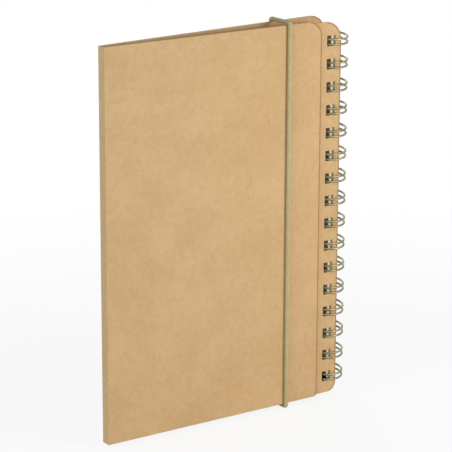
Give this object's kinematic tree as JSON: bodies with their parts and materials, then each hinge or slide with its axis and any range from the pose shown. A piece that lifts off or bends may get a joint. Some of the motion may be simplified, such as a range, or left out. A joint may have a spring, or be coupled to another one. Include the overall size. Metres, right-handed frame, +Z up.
{
  "type": "spiral notebook",
  "caption": "Kraft-board spiral notebook with a wrap-around front flap, twin-loop wire binding and an elastic cord closure.",
  "frame": {"origin": "bottom centre of the closed notebook's bounding box, on the surface it stands on", "axes": "+X from the fore-edge fold to the wire, -Y out of the front flap, +Z up along the page height"},
  "size_m": [0.1587, 0.0219, 0.2172],
  "materials": {
    "back_cover": "uncoated kraft board",
    "fore_edge_strip": "uncoated kraft board",
    "front_flap": "uncoated kraft board",
    "front_cover": "uncoated kraft board",
    "page_block": "cream writing paper",
    "wire_binding": "champagne-coloured nylon-coated steel wire",
    "elastic_cord": "woven sleeve over rubber",
    "cord_end_top": "crimped metal",
    "cord_end_bottom": "crimped metal"
  },
  "bodies": {
    "block": {"back_cover": "back_cover", "front_cover": "front_cover", "page_block": "page_block", "wire_binding": "wire_binding", "elastic_cord": "elastic_cord", "cord_end_top": "cord_end_top", "cord_end_bottom": "cord_end_bottom"},
    "strip": {"fore_edge_strip": "fore_edge_strip"},
    "flap": {"front_flap": "front_flap"}
  },
  "joints": [
    {"name": "strip_fold", "type": "hinge", "parent": "block", "child": "strip", "pos_m": [-0.0794, -0.0026, 0], "axis": [0, 0, -1], "range_deg": [0, 90], "deforming": ["elastic_cord"]},
    {"name": "flap_fold", "type": "hinge", "parent": "strip", "child": "flap", "pos_m": [-0.0794, -0.0084, 0], "axis": [0, 0, -1], "range_deg": [0, 180], "deforming": ["elastic_cord"]}
  ]
}
